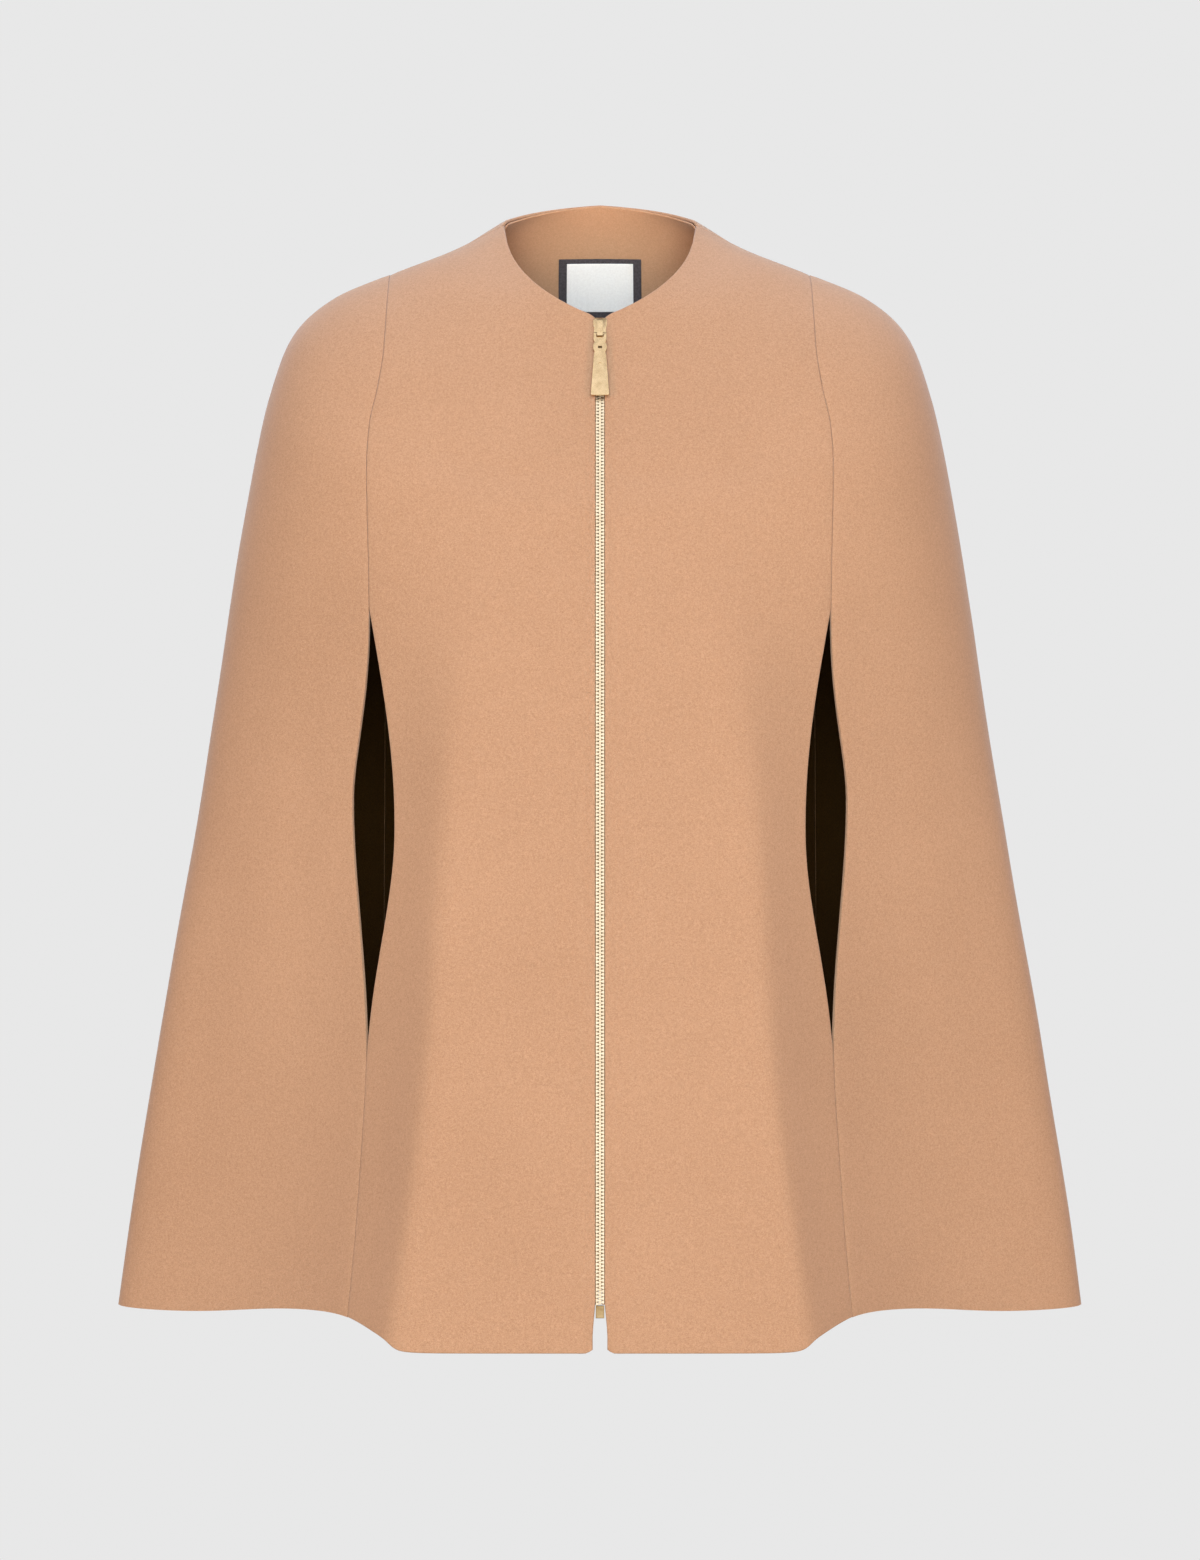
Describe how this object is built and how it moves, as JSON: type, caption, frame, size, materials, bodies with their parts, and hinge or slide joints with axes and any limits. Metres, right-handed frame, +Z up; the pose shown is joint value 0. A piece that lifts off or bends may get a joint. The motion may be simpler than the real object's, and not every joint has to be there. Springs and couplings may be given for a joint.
{
  "type": "cape coat",
  "caption": "Collarless zip-front wool cape coat on an invisible form, with arm slits in the front seams, a high-low hem, a neck label and a metal pull tab",
  "frame": {"origin": "middle of the neck's base, level with the two points where the neckline crosses the shoulder seams", "axes": "+X to the wearer's left, -Y to the front, +Z up"},
  "size_m": [0.6926, 0.303, 0.8121],
  "materials": {
    "wool": "double-faced felted wool in a pinkish camel, mink by name, matt and soft",
    "lining": "dark brown twill lining with a low sheen",
    "patch": "charcoal woven label ground, matt",
    "label": "white satin label, bare",
    "tape": "woven zip tape in the cloth's colour",
    "brass": "pale gold plating, polished"
  },
  "bodies": {
    "garment": {"front_left": "wool", "front_right": "wool", "back": "wool", "cape_left": "wool", "cape_right": "wool", "back_neck_facing": "wool", "lining_back": "lining", "lining_cape_left": "lining", "lining_cape_right": "lining", "label_patch": "patch", "label": "label", "zip_tape_left": "tape", "zip_tape_right": "tape", "zip_teeth": "brass", "zip_slider": "brass", "zip_box": "brass"},
    "pull": {"zip_pull": "brass"}
  },
  "joints": [
    {"name": "pull_swing", "type": "hinge", "parent": "garment", "child": "pull", "pos_m": [0, -0.08618, -0.08729], "axis": [-1, 0, 0], "range_deg": [0, 120]}
  ]
}
